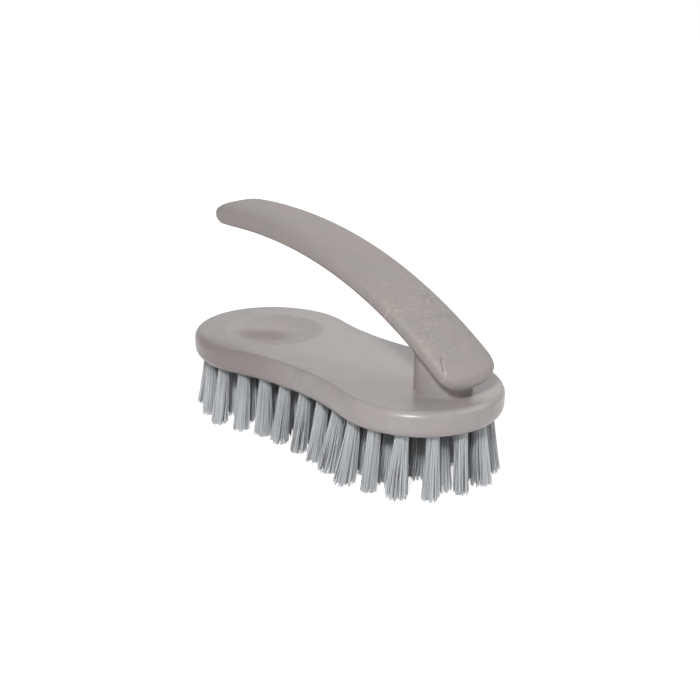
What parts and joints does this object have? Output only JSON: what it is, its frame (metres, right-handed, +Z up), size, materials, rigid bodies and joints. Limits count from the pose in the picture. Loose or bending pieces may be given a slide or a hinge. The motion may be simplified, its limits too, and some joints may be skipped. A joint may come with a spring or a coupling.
{
  "type": "palm scrubbing brush",
  "caption": "Palm scrubbing brush with an hourglass block, thumb dish, stiff splayed tufts and an arched handle that rises from a neck at one end.",
  "frame": {"origin": "on the plane of the bristle tips, below the middle of the block", "axes": "+X along the block towards the neck, -X towards the thumb dish and the handle's free end, +Z up"},
  "size_m": [0.15, 0.0664, 0.0879],
  "materials": {
    "block_plastic": "smooth matt taupe-grey straw-filled plastic",
    "handle_plastic": "matt taupe straw-filled plastic with pale flecks and faint flow marks",
    "bristle": "pale blue-grey drawn filament",
    "wire": "plain drawn steel"
  },
  "bodies": {
    "root": {"block": "block_plastic", "handle": "handle_plastic", "handle_screws": "wire", "tuft_anchors": "wire", "neck_tufts": "bristle", "centre_tufts": "bristle", "outer_tuft_1": "bristle", "outer_tuft_2": "bristle", "outer_tuft_3": "bristle", "outer_tuft_4": "bristle", "outer_tuft_5": "bristle", "outer_tuft_6": "bristle", "outer_tuft_7": "bristle", "outer_tuft_8": "bristle", "outer_tuft_9": "bristle", "outer_tuft_10": "bristle", "outer_tuft_11": "bristle", "outer_tuft_12": "bristle", "outer_tuft_13": "bristle", "outer_tuft_14": "bristle", "outer_tuft_15": "bristle", "outer_tuft_16": "bristle", "outer_tuft_17": "bristle", "outer_tuft_18": "bristle", "outer_tuft_19": "bristle", "outer_tuft_20": "bristle", "outer_tuft_21": "bristle", "outer_tuft_22": "bristle", "outer_tuft_23": "bristle", "outer_tuft_24": "bristle", "outer_tuft_25": "bristle", "outer_tuft_26": "bristle", "outer_tuft_27": "bristle", "outer_tuft_28": "bristle", "outer_tuft_29": "bristle", "outer_tuft_30": "bristle", "outer_tuft_31": "bristle", "middle_tuft_1": "bristle", "middle_tuft_2": "bristle", "middle_tuft_3": "bristle", "middle_tuft_4": "bristle", "middle_tuft_5": "bristle", "middle_tuft_6": "bristle", "middle_tuft_7": "bristle", "middle_tuft_8": "bristle", "middle_tuft_9": "bristle", "middle_tuft_10": "bristle", "middle_tuft_11": "bristle", "middle_tuft_12": "bristle", "middle_tuft_13": "bristle", "middle_tuft_14": "bristle", "middle_tuft_15": "bristle", "middle_tuft_16": "bristle", "middle_tuft_17": "bristle", "middle_tuft_18": "bristle", "middle_tuft_19": "bristle", "middle_tuft_20": "bristle", "middle_tuft_21": "bristle"}
  },
  "joints": []
}
